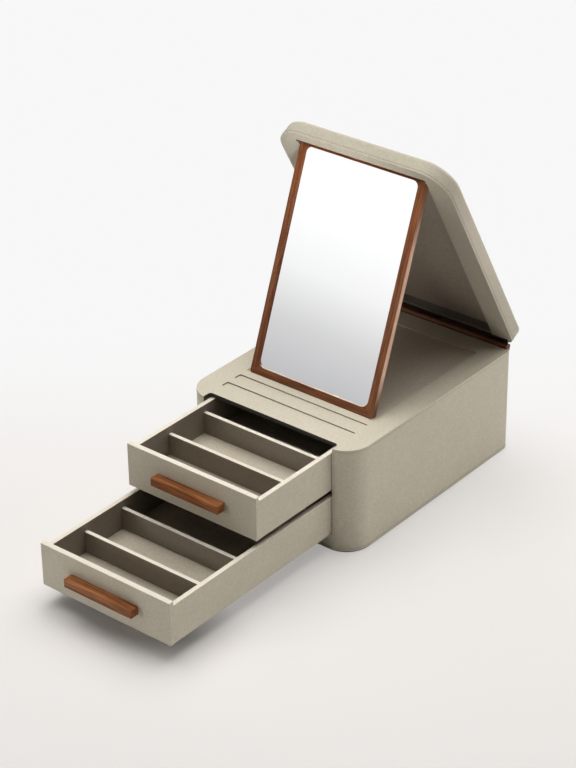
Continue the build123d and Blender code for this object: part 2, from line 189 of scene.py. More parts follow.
def rounded(x0, x1, y0, y1, radii, count=12):
    """A rectangle with its own radius at each corner, from the low corner round anticlockwise."""
    a, b, c, d = radii
    points = arc(x0 + a, y0 + a, a, 180, 270, count)
    points += arc(x1 - b, y0 + b, b, 270, 360, count)
    points += arc(x1 - c, y1 - c, c, 0, 90, count)
    points += arc(x0 + d, y1 - d, d, 90, 180, count)
    return points


def add_object(name, bm, *mats):
    """An object from a bmesh, which is freed."""
    mesh = bpy.data.meshes.new(name)
    bmesh.ops.recalc_face_normals(bm, faces=bm.faces)
    bm.to_mesh(mesh)
    bm.free()
    mesh.shade_smooth()
    for mat in mats:
        mesh.materials.append(mat)
    obj = bpy.data.objects.new(name, mesh)
    bpy.context.scene.collection.objects.link(obj)
    return obj


def prism_mesh(points, low, high):
    """A bmesh prism over an outline, in millimetres turned to metres."""
    bm = bmesh.new()
    bottom = [bm.verts.new((x * MM, y * MM, low * MM)) for x, y in points]
    top = [bm.verts.new((x * MM, y * MM, high * MM)) for x, y in points]
    bm.faces.new(bottom)
    bm.faces.new(top)
    count = len(points)
    for i in range(count):
        j = (i + 1) % count
        bm.faces.new((bottom[i], bottom[j], top[j], top[i]))
    bmesh.ops.recalc_face_normals(bm, faces=bm.faces)
    return bm


def prism(name, points, low, high, *mats):
    return add_object(name, prism_mesh(points, low, high), *mats)


def box_points(x0, x1, y0, y1):
    return [(x0, y0), (x1, y0), (x1, y1), (x0, y1)]


def cutter(name, points, low, high, slot=0, floor_slot=None):
    """A prism to take out of a solid. The faces it leaves get the solid's materials of those
    numbers."""
    made = prism(name, points, low, high, *([None] * (slot + 1)))
    for polygon in made.data.polygons:
        flat = floor_slot is not None and abs(polygon.normal.z) > LOOKS_THAT_WAY
        polygon.material_index = floor_slot if flat else slot
    return made


def cut(obj, cutters):
    """Takes the cutters out of a solid, for good."""
    for tool in cutters:
        mod = obj.modifiers.new("cut", "BOOLEAN")
        mod.operation = "DIFFERENCE"
        mod.solver = "EXACT"
        mod.material_mode = "INDEX"
        mod.object = tool
    bpy.context.view_layer.update()
    graph = bpy.context.evaluated_depsgraph_get()
    mesh = bpy.data.meshes.new_from_object(obj.evaluated_get(graph))
    obj.modifiers.clear()
    obj.data = mesh
    for tool in cutters:
        bpy.data.objects.remove(tool)
    mesh.shade_smooth()


def soften(obj, width, segments=3, angle=35.0):
    """Rounds the hard edges and keeps the flats flat."""
    bevel = obj.modifiers.new("edges", "BEVEL")
    bevel.width = width * MM
    bevel.segments = segments
    bevel.limit_method = "ANGLE"
    bevel.angle_limit = math.radians(angle)
    bevel.harden_normals = False
    bevel.use_clamp_overlap = True
    even_normals(obj)


def put(obj, body, slot, *replaced):
    """Ties a piece to its body and hides the nodes that it stands for. The slot is not used."""
    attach(obj, body)
    if replaced:
        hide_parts(*replaced)
    return obj


def boxes_mesh(boxes, width, segments, lit, inner):
    """Boxes with rounded edges. Faces that look up take the second material where lit is true, a
    pale edge paint that also paints their highlight, and those that look the inner way the third, a
    painted shade."""
    bm = bmesh.new()
    for lo, hi in boxes:
        part = prism_mesh(box_points(lo[0], hi[0], lo[1], hi[1]), lo[2], hi[2])
        bmesh.ops.bevel(
            part, geom=part.edges[:], offset=width * MM, segments=segments, profile=0.5,
            affect="EDGES",
        )
        part.normal_update()
        for face in part.faces:
            if lit and face.normal.z > LOOKS_THAT_WAY:
                face.material_index = 1
            elif inner and face.normal.dot(Vector(inner)) > LOOKS_THAT_WAY:
                face.material_index = 2
        mesh = bpy.data.meshes.new("part")
        part.to_mesh(mesh)
        part.free()
        bm.from_mesh(mesh)
        bpy.data.meshes.remove(mesh)
    return bm


def even_normals(obj):
    """Keeps flat faces flat beside their rounded edges."""
    normals = obj.modifiers.new("normals", "WEIGHTED_NORMAL")
    normals.keep_sharp = False
    normals.weight = FACE_WEIGHT
    return obj


def slabs(name, boxes, mats, width=BOARD_EDGE, segments=3, lit=True, inner=None):
    return even_normals(add_object(name, boxes_mesh(boxes, width, segments, lit, inner), *mats))


def node_box(name):
    """A node's low and high corners in millimetres."""
    low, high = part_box(name)
    return tuple(v / MM for v in low), tuple(v / MM for v in high)


# ---- materials ----

def new_material(name, roughness, specular=0.35):
    mat = bpy.data.materials.new(name)
    mat.use_nodes = True
    tree = mat.node_tree
    shader = tree.nodes["Principled BSDF"]
    shader.inputs["Roughness"].default_value = roughness
    shader.inputs["Specular IOR Level"].default_value = specular
    return mat, tree, shader


def node(tree, kind, **values):
    """A node with its inputs, or where it has no such input its own properties, set by name."""
    made = tree.nodes.new(kind)
    for key, value in values.items():
        if key in made.inputs:
            made.inputs[key].default_value = value
        else:
            setattr(made, key, value)
    return made


def ramp(tree, source, stops):
    """A colour ramp over a value. A stop is a place and a colour, or a place and a grey level."""
    made = tree.nodes.new("ShaderNodeValToRGB")
    elements = made.color_ramp.elements
    stops = list(stops)
    while len(elements) < len(stops):
        elements.new(0.5)
    for element, (place, colour) in zip(elements, stops):
        element.position = place
        element.color = (*(colour if isinstance(colour, tuple) else (colour,) * 3), 1.0)
    tree.links.new(source, made.inputs["Fac"])
    return made.outputs["Color"]


def scaled(colour, factor):
    return tuple(min(1.0, c * factor) for c in colour)


def connect(tree, socket, value):
    """Links a socket to another one, or sets it."""
    if isinstance(value, bpy.types.NodeSocket):
        tree.links.new(value, socket)
    else:
        socket.default_value = value


def mixed(tree, factor, first, second, blend="MIX"):
    made = tree.nodes.new("ShaderNodeMix")
    made.data_type = "RGBA"
    made.blend_type = blend
    for key, value in (("Factor", factor), ("A", first), ("B", second)):
        connect(tree, made.inputs[key], (*value, 1.0) if isinstance(value, tuple) else value)
    return made.outputs["Result"]


def maths(tree, operation, *values, kind="ShaderNodeMath", result="Value"):
    """A sum on sockets and fixed values."""
    made = node(tree, kind, operation=operation)
    for socket, value in zip(made.inputs, values):
        connect(tree, socket, value)
    return made.outputs[result]


def object_place(tree):
    return node(tree, "ShaderNodeTexCoord").outputs["Object"]


def texture(tree, place, kind="ShaderNodeTexNoise", result="Fac", **values):
    """The result of a node that works on a place, by default of a noise."""
    made = node(tree, kind, **values)
    tree.links.new(place, made.inputs["Vector"])
    return made.outputs[result]


def bumped(tree, shader, height, strength, distance):
    """Gives a shader bumps by height, their depth in metres."""
    bump = node(tree, "ShaderNodeBump", Strength=strength, Distance=distance)
    tree.links.new(height, bump.inputs["Height"])
    tree.links.new(bump.outputs["Normal"], shader.inputs["Normal"])


def leather(name, colour, roughness=0.62, grain=1.0, contrast=1.0):
    """Fine-grained leather: soft clouding, pebbled grain about 1 mm across and small pores."""
    mat, tree, shader = new_material(name, roughness, 0.25)
    place = object_place(tree)
    cloud = texture(tree, place, Scale=26.0, Detail=5.0, Roughness=0.6)
    pebble = texture(
        tree, place, "ShaderNodeTexVoronoi", "Distance", Scale=900.0, feature="SMOOTH_F1"
    )
    pores = texture(tree, place, Scale=1700.0, Detail=3.0, Roughness=0.7)
    mottle = texture(tree, place, Scale=420.0, Detail=4.0, Roughness=0.65)
    broad = ramp(tree, cloud, ((0.3, scaled(colour, 0.975)), (0.7, scaled(colour, 1.02))))
    speck = ramp(tree, mottle, ((0.32, 1.0 - 0.10 * contrast), (0.62, 1.0 + 0.02 * contrast)))
    tint = mixed(tree, 0.75, broad, speck, "MULTIPLY")
    tree.links.new(tint, shader.inputs["Base Color"])
    height = maths(tree, "MULTIPLY_ADD", pores, 0.5, pebble)
    bumped(tree, shader, height, 0.32 * grain, 0.0003)
    return mat


def walnut(name, along, tones, roughness=0.42, specular=0.3, height_shade=()):
    """Oiled walnut with its grain along one axis of the piece. Its three tones run from dark to
    light, and the tints given for heights in metres paint shade along its height."""
    mat, tree, shader = new_material(name, roughness, specular)
    place = object_place(tree)

    def stretched(squeeze):
        scale = [1.0, 1.0, 1.0]
        scale[along] = squeeze
        return texture(tree, place, "ShaderNodeMapping", "Vector", Scale=scale)

    figure = texture(
        tree, stretched(0.07), Scale=190.0, Detail=5.0, Roughness=0.6, Distortion=0.9
    )
    fibre = texture(tree, stretched(0.03), Scale=1300.0, Detail=2.0, Roughness=0.6)
    base = ramp(tree, figure, zip((0.28, 0.5, 0.74), tones))
    lines = ramp(tree, fibre, ((0.35, (0.62, 0.58, 0.56)), (0.58, (1.06, 1.05, 1.04))))
    tint = mixed(tree, 0.8, base, lines, "MULTIPLY")
    if height_shade:
        height = texture(tree, place, "ShaderNodeSeparateXYZ", "Z")
        tint = mixed(tree, 1.0, tint, ramp(tree, height, height_shade), "MULTIPLY")
    tree.links.new(tint, shader.inputs["Base Color"])
    bumped(tree, shader, fibre, 0.25, 0.00012)
    return mat


def plain(name, colour, roughness, metallic=0.0, scale=260.0, depth=0.1, spread=0.06):
    """A lightly mottled finish for metal, rubber, board and thread."""
    mat, tree, shader = new_material(name, roughness)
    shader.inputs["Metallic"].default_value = metallic
    mottle = texture(tree, object_place(tree), Scale=scale, Detail=3.0)
    tones = ((0.3, scaled(colour, 1 - spread)), (0.7, scaled(colour, 1 + spread)))
    tree.links.new(ramp(tree, mottle, tones), shader.inputs["Base Color"])
    bumped(tree, shader, mottle, depth, 0.0001)
    return mat


def metal(name, colour, roughness, metallic=1.0, depth=0.05, spread=0.04):
    return plain(name, colour, roughness, metallic, 700.0, depth, spread)


# leather
GREIGE = (0.650, 0.605, 0.487)
hide = leather("greige_leather", GREIGE, contrast=1.6)
# the recess's floor: a darker, browner copy of the greige leather, painted shade of the lid and
# mirror above it
recess_painted_shade = leather("recess_leather_painted_shade", (0.605, 0.535, 0.435), contrast=2.0)
# the lid's outer leather: a darker copy of the greige, painted shade that offsets the stronger
# light on the raised lid
lid_hide_painted_shade = leather("lid_leather", scaled(GREIGE, 0.81), contrast=1.6)
# pale edge paint on the drawer boards' tops that also paints their highlight, and a painted
# highlight line on the deck recess's walls
edge_paint_and_highlight = leather("leather_edge_paint_and_highlight", (0.86, 0.79, 0.68), 0.55, 0.4)
# darker taupe on the trays' inner faces, dividers and backs and on the grooves' walls: painted
# shade
lining = leather("taupe_lining_painted_shade", (0.29, 0.25, 0.205), 0.75, 0.7, 1.8)
tray_floor = leather("tray_leather", (0.58, 0.52, 0.42), 0.7, 0.8, 2.0)
# the lid's lining: a darker copy of the greige, painted shade under the open lid
lid_lining_painted_shade = leather("lid_lining_leather_painted_shade", (0.43, 0.375, 0.31), 0.7, 1.8, 2.6)
# near-black leather on the lid well's walls and along its rear border: painted shade
lid_well_painted_shade = leather("lid_well_leather_painted_shade", (0.20, 0.175, 0.15), 0.75, 0.7)
# the mirror's back, dark so that it bounces little light under the lid: painted shade there
mirror_back_shading = leather("mirror_back_leather_shading", (0.16, 0.14, 0.12), 0.75, 0.7)

# thread, board, rubber and metal
thread = plain("thread", (0.40, 0.355, 0.28), 0.7)
base_dark = plain("dark_base", (0.020, 0.018, 0.017), 0.7)
board = plain("board", (0.30, 0.23, 0.16), 0.7, scale=120.0)
dark_bay = plain("bay_lining", (0.12, 0.105, 0.092), 0.85)
# near-black for the notch's walls under the deck's front edge: painted shade
notch_wall_painted_shade = plain("notch_wall_painted_shade", (0.045, 0.040, 0.034), 0.85)
rubber = plain("rubber", (0.03, 0.03, 0.03), 0.8)
steel = metal("steel", (0.55, 0.55, 0.54), 0.32)
dark_steel = metal("dark_steel", (0.06, 0.05, 0.045), 0.5, 0.8)
nickel = metal("bright_nickel", (0.82, 0.80, 0.77), 0.22, depth=0.03, spread=0.03)

# walnut, each with its dark, middle and light tone
WALNUT = ((0.090, 0.027, 0.010), (0.205, 0.070, 0.029), (0.320, 0.130, 0.058))
# pale walnut for the frame's right side face: a painted highlight of the light from the right
SIDE_HIGHLIGHT_WALNUT = ((0.62, 0.39, 0.26), (0.78, 0.51, 0.36), (0.92, 0.64, 0.47))
# pale walnut for the sight's bevel at the right and the bottom: a painted highlight
BEVEL_HIGHLIGHT_WALNUT = ((0.80, 0.66, 0.52), (0.90, 0.76, 0.62), (0.96, 0.84, 0.70))
BAR_WALNUT = ((0.11, 0.036, 0.012), (0.34, 0.125, 0.045), (0.56, 0.250, 0.110))
# tints for heights in metres on the frame's face: darker towards its foot, a painted shade
FRAME_SHADE_TINTS = (
    (0.010, (1.10, 1.12, 1.12)), (0.050, (1.34, 1.42, 1.48)), (0.150, (1.58, 1.72, 1.85)),
    (0.270, 1.80),
)
# tints for heights on the side face: darker at the foot and under the lid at the top, painted shade
SIDE_SHADE_TINTS = (
    (0.014, (0.22, 0.15, 0.11)), (0.050, 1.0), (0.185, 1.0), (0.235, (0.40, 0.28, 0.22)),
)
ACROSS, UPRIGHT = 0, 2
walnut_x = walnut("walnut_cross", ACROSS, WALNUT, 0.5, 0.12, FRAME_SHADE_TINTS)
walnut_z = walnut("walnut_upright", UPRIGHT, WALNUT, 0.5, 0.12, FRAME_SHADE_TINTS)
walnut_side_painted_highlight = walnut("walnut_side_painted_highlight", UPRIGHT, SIDE_HIGHLIGHT_WALNUT, height_shade=SIDE_SHADE_TINTS)
walnut_bevel_painted_highlight = walnut("walnut_bevel_painted_highlight", ACROSS, BEVEL_HIGHLIGHT_WALNUT, 0.35)
# near-black walnut: painted contact shadow along the frame's foot and painted shade in the hinge's
# gap
walnut_painted_shade = walnut("walnut_painted_shade", ACROSS, [scaled(tone, 0.25) for tone in WALNUT])
walnut_bar = walnut("walnut_handle", ACROSS, BAR_WALNUT, 0.4, 0.15)


def hinge_wood_painted_light():
    """Lighter walnut on a band along the knuckles, a painted highlight, and painted near-black
    shade above it, below it and on the webs.
    """
    mat = walnut("walnut_hinge_painted_light", ACROSS, [scaled(tone, 1.5) for tone in WALNUT])
    tree = mat.node_tree
    colour = tree.nodes["Principled BSDF"].inputs["Base Color"]
    y, z = KNUCKLE_BAND_SIDE
    height = maths(
        tree, "DOT_PRODUCT", object_place(tree), (0.0, y, z), kind="ShaderNodeVectorMath"
    )
    middle = (PIVOT[0] * y + PIVOT[1] * z + KNUCKLE_BAND_MIDDLE) * MM
    distance = maths(tree, "ABSOLUTE", maths(tree, "SUBTRACT", height, middle))
    end = KNUCKLE_BAND_HALF + KNUCKLE_BAND_FADE
    knuckle_shade_step = ramp(tree, distance, ((KNUCKLE_BAND_HALF * MM, 0.0), (end * MM, 1.0)))
    grain = colour.links[0].from_socket
    tree.links.new(mixed(tree, knuckle_shade_step, grain, scaled(WALNUT[0], 0.35)), colour)
    return mat


def silvered():
    """Mirror glass, its silver very slightly uneven."""
    mat, tree, shader = new_material("mirror_glass", 0.015, 0.5)
    shader.inputs["Metallic"].default_value = 1.0
    noise = node(tree, "ShaderNodeTexNoise", Scale=3.0).outputs["Fac"]
    silver = ramp(tree, noise, ((0.3, (0.955, 0.957, 0.96)), (0.7, (0.965, 0.967, 0.97))))
    tree.links.new(silver, shader.inputs["Base Color"])
    return mat


walnut_hinge_painted_light = hinge_wood_painted_light()
glass = silvered()


def paint(names, mat, width=0.0):
    """Gives CAD nodes their material, and rounded edges where a width is given."""
    for name in names:
        obj = nodes[name]
        obj.data.materials.clear()
        obj.data.materials.append(mat)
        if width:
            soften(obj, width)


paint(("base_plate",), base_dark)
paint(("side_panel_right", "side_panel_left", "wall_battens", "rear_panel"), board)
paint(("drawer_wall_right", "drawer_wall_left", "floor_panel", "shelf"), dark_bay)
paint(("drawer_stops",), rubber)
paint(("hinge_case_screws", "hinge_lid_screws", "mirror_pivot_pins"), steel)
paint(("hinge_pin",), dark_steel)
paint(("lower_slide_rails", "upper_slide_rails"), steel)
paint(("lower_slide_middles", "upper_slide_middles"), steel)
paint(("lower_drawer_slide_runners", "upper_drawer_slide_runners"), steel)
paint(("lower_drawer_handle_screws", "upper_drawer_handle_screws"), nickel)
paint(("mirror_pivot_plates",), nickel, PLATE_EDGE)
paint(("hinge_rail_case", "hinge_rail_lid"), walnut_hinge_painted_light)


# ---- stitching ----

STITCH_RINGS = ((-0.5, 0.35), (-0.33, 0.9), (0.0, 1.0), (0.33, 0.9), (0.5, 0.35))
STITCH_SIDES = 6
STITCH_FLATNESS = 0.8


def add_stitch(bm, centre, along, across, out, length, radius):
    """One spindle-shaped stitch, rounded across and a little flat on its surface."""
    rings = []
    for place, size in STITCH_RINGS:
        ring = []
        for k in range(STITCH_SIDES):
            turn = math.radians(360 * k / STITCH_SIDES)
            offset = across * math.cos(turn) * radius * size
            offset += out * math.sin(turn) * radius * size * STITCH_FLATNESS
            ring.append(bm.verts.new((centre + along * place * length + offset) * MM))
        rings.append(ring)
    for one, two in zip(rings, rings[1:]):
        for k in range(STITCH_SIDES):
            j = (k + 1) % STITCH_SIDES
            bm.faces.new((one[k], one[j], two[j], two[k]))
    bm.faces.new(rings[0])
    bm.faces.new(rings[-1])


def stitch_row(name, path, outward, body, pitch=3.2, length=2.2, radius=0.42, matrix=None):
    """Short thread stitches along a path of points, each lying on a surface whose outward side is
    given."""
    bm = bmesh.new()
    carried = pitch / 2
    for i in range(len(path) - 1):
        a = Vector(path[i])
        b = Vector(path[i + 1])
        span = (b - a).length
        if span < TINY:
            continue
        along = (b - a) / span
        out = Vector(outward[i]).lerp(Vector(outward[i + 1]), 0.5).normalized()
        across = along.cross(out).normalized()
        while carried <= span:
            add_stitch(bm, a + along * carried, along, across, out, length, radius)
            carried += pitch
        carried -= span
    obj = add_object(name, bm, thread)
    if matrix is not None:
        obj.matrix_world = matrix
    return put(obj, body, "leather")


def closed(points):
    return points + points[:1]


def normals_2d(points, ring):
    """Outward directions along a flat anticlockwise path, which may be a closed ring."""
    result = []
    count = len(points)
    for i in range(count):
        a = points[(i - 1) % count] if ring or i else points[0]
        b = points[(i + 1) % count] if ring or i < count - 1 else points[-1]
        dx, dy = b[0] - a[0], b[1] - a[1]
        size = math.hypot(dx, dy) or 1.0
        result.append((dy / size, -dx / size, 0.0))
    return result


# ---- case ----

def outline(half, front, rear, front_radius, rear_radius, inset=0.0):
    """The case's or the lid's outline from above, from the front left corner anticlockwise."""
    radii = [front_radius - inset] * 2 + [rear_radius - inset] * 2
    return rounded(-half + inset, half - inset, front + inset, rear - inset, radii, 20)


CASE = (HALF_W, FRONT, REAR, FRONT_RADIUS, REAR_RADIUS)
skin_mats = (hide, dark_bay, lining, edge_paint_and_highlight, notch_wall_painted_shade, recess_painted_shade)
ON_HIDE, ON_BAY, ON_LINING_SHADE, ON_EDGE_HIGHLIGHT, ON_NOTCH_SHADE, ON_RECESS_SHADE = range(len(skin_mats))
outer = outline(*CASE)
skin = prism("case_skin", outer, HEM, TOP, *skin_mats)

inner_corners = (POST_CORNER, POST_CORNER, REAR_RADIUS - SKIN, REAR_RADIUS - SKIN)
cavity = rounded(-HALF_W + SKIN, HALF_W - SKIN, POST_REAR, REAR - SKIN, inner_corners, 6)
notch_corners = (POST_CORNER, POST_CORNER, OPENING_CORNER, OPENING_CORNER)
notch = rounded(-OPENING, OPENING, FRONT - FRONT_EXCESS, DECK_FRONT, notch_corners, 8)
throat = box_points(-OPENING, OPENING, DECK_FRONT, POST_REAR + OVERLAP)
mouth = box_points(-OPENING, OPENING, FRONT - FRONT_EXCESS, DECK_FRONT + MOUTH_OVERLAP)
half, face, low = CASE_REBATE
rebate = box_points(-half, half, face, REAR + CUTTER_EXCESS)
above = TOP + CUTTER_EXCESS


def deck_strip(low, high):
    """A round-cornered stretch of the deck, as wide as the opening for the drawers."""
    return rounded(-OPENING, OPENING, low, high, (RECESS_CORNER,) * 4, 6)


cutters = [
    cutter("cut_base", outline(*CASE, SKIN), HEM - SMALL_EXCESS, BASE_TOP),
    cutter("cut_cavity", cavity, BASE_TOP - SMALL_EXCESS, DECK_UNDER, ON_BAY),
    cutter("cut_throat", throat, BASE_TOP - SMALL_EXCESS, DECK_UNDER, ON_BAY),
    cutter("cut_mouth", mouth, SILL, DECK_UNDER, ON_BAY),
    # the notch's walls take the near-black, painted shade under the deck's edge
    cutter("cut_notch", notch, DECK_UNDER - OVERLAP, above, ON_NOTCH_SHADE),
    cutter("cut_rebate", rebate, low, above),
    # the recess's walls take the pale edge leather, a painted highlight line, and its floor the
    # darker leather, painted shade
    cutter("cut_recess", deck_strip(*RECESS), RECESS_FLOOR, above, ON_EDGE_HIGHLIGHT, ON_RECESS_SHADE),
]
# the grooves' walls take the dark taupe, painted shadow of their step
for groove in GROOVES:
    strip = deck_strip(*groove)
    cutters.append(cutter("cut_groove", strip, RECESS_FLOOR, above, ON_LINING_SHADE, ON_HIDE))
cut(skin, cutters)
soften(skin, LEATHER_TURN, 3, SKIN_ANGLE)
put(
    skin, "case", "leather",
    "case_leather", "front_rail", "front_post_right", "front_post_left", "deck_board",
    "deck_border_right", "deck_border_left", "deck_border_front", "deck_border_rear",
    "groove_bar_front", "groove_bar_rear",
)

# the top row leaves out the opening for the drawers and the rebate for the hinge rail
quarter = len(outer) // 4
leathered = [
    (x, y) for x, y in outer[quarter:] + outer[:quarter]
    if abs(x) > OPENING + TOP_STITCH_GAP and (abs(x) > half or y < face)
]
for side, word in ((1, "right"), (-1, "left")):
    row = [p for p in leathered if side * p[0] > 0]
    path = [(x, y, TOP - STITCH_FROM_EDGE) for x, y in row]
    stitch_row("case_top_stitching_" + word, path, normals_2d(row, False), "case")
hem_path = [(x, y, HEM + STITCH_FROM_EDGE) for x, y in closed(outer)]
stitch_row("case_hem_stitching", hem_path, closed(normals_2d(outer, True)), "case")
for side, word in ((1, "right"), (-1, "left")):
    x = side * (OPENING + JAMB_STITCH_INSET)
    turn = OPENING + JAMB_STITCH_INSET - (HALF_W - FRONT_RADIUS)
    drop = math.sqrt(FRONT_RADIUS ** 2 - turn ** 2)
    y = FRONT + FRONT_RADIUS - drop
    out = Vector((side * turn, -drop, 0)).normalized()
    ends = [(x, y, JAMB_STITCH_LOW), (x, y, JAMB_STITCH_HIGH)]
    stitch_row("jamb_stitching_" + word, ends, [out, out], "case")

# ---- lid, drawn closed and turned open about the hinge pin ----

OPEN = (
    Matrix.Translation((0, PIVOT[0] * MM, PIVOT[1] * MM))
    @ Matrix.Rotation(-math.radians(LID_OPENING), 4, "X")
    @ Matrix.Translation((0, -PIVOT[0] * MM, -PIVOT[1] * MM))
)
lid_outer = outline(LID_HALF, -LID_END, LID_END, LID_RADIUS, REAR_RADIUS)
lid_top = LID_LOW + LID_THICK
lid_bm = prism_mesh(lid_outer, LID_LOW, lid_top)
rim = [e for e in lid_bm.edges if all(abs(v.co.z - lid_top * MM) < TINY for v in e.verts)]
bmesh.ops.bevel(lid_bm, geom=rim, offset=LID_EDGE * MM, segments=9, profile=0.5, affect="EDGES")
shell = add_object("lid_shell", lid_bm, lid_hide_painted_shade, lid_well_painted_shade)
ON_WELL_SHADE = 1

well = rounded(-LID_INNER_HALF, LID_INNER_HALF, *LID_INNER, (LID_INNER_CORNER,) * 4, 5)
half, face, high = LID_REBATE
rebate = box_points(-half, half, face, REAR)
# the well's walls and a strip along its rear border take the near-black leather, painted shade
rear_shade_strip = box_points(
    -LID_INNER_HALF, LID_INNER_HALF, LID_INNER[1] + REAR_STRIP_GAP, face
)
below = LID_LOW - CUTTER_EXCESS
cut(
    shell,
    [
        cutter("cut_well", well, below, LID_LOW + LID_RECESS_DEPTH, ON_WELL_SHADE),
        cutter("cut_rebate", rebate, below, high),
        cutter("cut_rear_shade_strip", rear_shade_strip, below, LID_LOW + REAR_STRIP_DEPTH, ON_WELL_SHADE),
    ],
)
shell.matrix_world = OPEN
soften(shell, LID_TURN, 3, SKIN_ANGLE)
put(
    shell, "lid", "leather",
    "lid_leather", "lid_board", "lid_rail_right", "lid_rail_left", "lid_rail_front",
    "lid_rail_rear",
)

lining_half = LID_INNER_HALF - LINING_GAP
lining_floor = LID_LOW + LID_RECESS_DEPTH
lining_box = (
    (-lining_half, LID_INNER[0] + LINING_GAP, lining_floor - LINING_PROUD),
    (lining_half, LID_INNER[1] - LINING_GAP, lining_floor + LINING_SUNK),
)
pad = slabs("lid_lining_panel", [lining_box], (lid_lining_painted_shade,), LINING_EDGE, 2, False)
pad.matrix_world = OPEN
put(pad, "lid", "leather", "lid_lining")

# a dark strip fills the hinge's gap: painted shade where light would show through
strip = slabs("hinge_gap_shade_strip", [HINGE_GAP_SHADE], (walnut_painted_shade,), STRIP_EDGE, 1, False)
strip.matrix_world = OPEN
put(strip, "lid", "walnut")

lid_path = [(x, y, LID_LOW + LID_STITCH_FROM_EDGE) for x, y in closed(lid_outer)]
stitch_row(
    "lid_stitching", lid_path, closed(normals_2d(lid_outer, True)), "lid",
    pitch=2.8, length=2.3, radius=0.5, matrix=OPEN,
)

# ---- mirror, drawn upright from its toe: Y is the depth behind its face, Z the height ----

STAND = (
    Matrix.Translation((0, TOE[0] * MM, TOE[1] * MM))
    @ Matrix.Rotation(-math.radians(MIRROR_LEAN), 4, "X")
)
FOOT_SLOPE = math.tan(math.radians(MIRROR_LEAN))
END_RADIUS = MIRROR_THICK / 2


def frame_loop(x, low, high, low_r, high_r, depth):
    """One ring of the frame at a depth, fitted to the flat foot and the round top end."""
    ring = []
    for px, pz in rounded(-x, x, low, high, (low_r, low_r, high_r, high_r), 10):
        pz = max(pz, depth * FOOT_SLOPE)
        over = pz - MIRROR_REACH
        place = depth
        if over > 0:
            half = math.sqrt(max(0.0, END_RADIUS ** 2 - over ** 2))
            place = END_RADIUS + max(-half, min(half, depth - END_RADIUS))
        ring.append((px, place, pz))
    return ring


def outer_ring(inset, depth):
    """A ring along the frame's outer edge."""
    high = MIRROR_REACH + END_RADIUS - inset
    return frame_loop(
        MIRROR_HALF - inset, inset, high, FOOT_CORNER - inset, FRAME_TOP_CORNER - inset, depth
    )


def sight_ring(grow, depth):
    """A ring along the edge of the glass that is seen."""
    return frame_loop(
        SIGHT_HALF + grow, SIGHT_LOW - grow, SIGHT_HIGH + grow,
        SIGHT_LOW_CORNER + grow, SIGHT_HIGH_CORNER + grow, depth,
    )


# the frame's section, as inset or growth and depth: over the face, down the sight, round the rebate
# for the glass and back over the rear edge
FACE_EDGE = ((0.0, 0.6), (0.1, 0.3), (0.3, 0.1), (0.6, 0.0), (1.6, 0.0))
SIGHT_EDGE = ((0.8, 0.0), (0.7, 0.05), (0.0, 0.7), (0.0, GLASS_FACE))
REBATE_EDGE = ((2.5, GLASS_FACE), (2.5, 7.5), (2.8, 7.9), (3.1, MIRROR_THICK))
REAR_EDGE = ((0.8, MIRROR_THICK), (0.4, 7.9), (0.1, 7.6), (0.0, 7.2))
rings = [outer_ring(*spot) for spot in FACE_EDGE]
rings += [sight_ring(*spot) for spot in SIGHT_EDGE + REBATE_EDGE]
rings += [outer_ring(*spot) for spot in REAR_EDGE]
# the bevel and side woods paint highlights and the foot wood paints a contact shadow
woods = (walnut_x, walnut_z, walnut_bevel_painted_highlight, walnut_side_painted_highlight, walnut_painted_shade)
CROSS, STILE, BEVEL, SIDE, FOOT = range(len(woods))
frame_bm = bmesh.new()
grid = [[frame_bm.verts.new([v * MM for v in spot]) for spot in ring] for ring in rings]
per = len(rings[0])
quarter = per // 4
first_sight = len(FACE_EDGE)
last_sight = first_sight + len(SIGHT_EDGE) - 2
first_rear = len(rings) - len(REAR_EDGE)
for r, ring in enumerate(grid):
    following = grid[(r + 1) % len(grid)]
    for i in range(per):
        j = (i + 1) % per
        face = frame_bm.faces.new((ring[i], ring[j], following[j], following[i]))
        # stiles take the upright grain, rails the cross grain, split at the middle of each corner
        shifted = (i + quarter // 2 + 1) % per
        face.material_index = STILE if (shifted // quarter) % 2 == 0 else CROSS
        centre = face.calc_center_median() / MM
        # a painted highlight on the sight's bevel at the right and at the bottom
        pale_highlight = centre.x > SIGHT_HALF - BEVEL_HIGHLIGHT_REACH or centre.z < SIGHT_LOW + BEVEL_HIGHLIGHT_REACH
        lit = centre.x > MIRROR_HALF - LIT_SIDE and centre.z > LIT_SIDE_LOW
        if first_sight <= r <= last_sight and pale_highlight:
            face.material_index = BEVEL
        # the face's bottom edge takes near-black walnut, a painted contact shadow
        if r < first_sight - 1 and centre.z < FOOT_SHADOW_REACH:
            face.material_index = FOOT
        # the right side face takes the pale walnut, a painted highlight
        if r >= first_rear and lit:
            face.material_index = SIDE
bmesh.ops.remove_doubles(frame_bm, verts=frame_bm.verts, dist=WELD)
wood = even_normals(add_object("mirror_frame_wood", frame_bm, *woods))
wood.matrix_world = STAND
put(wood, "mirror", "walnut", "mirror_frame")


def plate(name, near, far, mat, slot, replaced):
    """A sheet in the frame's rebate, between two depths behind the mirror's face."""
    points = [(x, z) for x, _, z in sight_ring(GLASS_OVERLAP, END_RADIUS)]
    made = prism(name, points, -far, -near, mat)
    made.data.transform(Matrix.Rotation(math.radians(90), 4, "X"))
    made.matrix_world = STAND
    soften(made, PLATE_EDGE, 2)
    return put(made, "mirror", slot, replaced)


plate("mirror_glass_plate", GLASS_FACE, GLASS_BACK, glass, "mirror_glass", "mirror_glass")
plate("mirror_back_board", GLASS_BACK, BACKING_BACK, mirror_back_shading, "board", "mirror_backing")

# ---- drawers ----

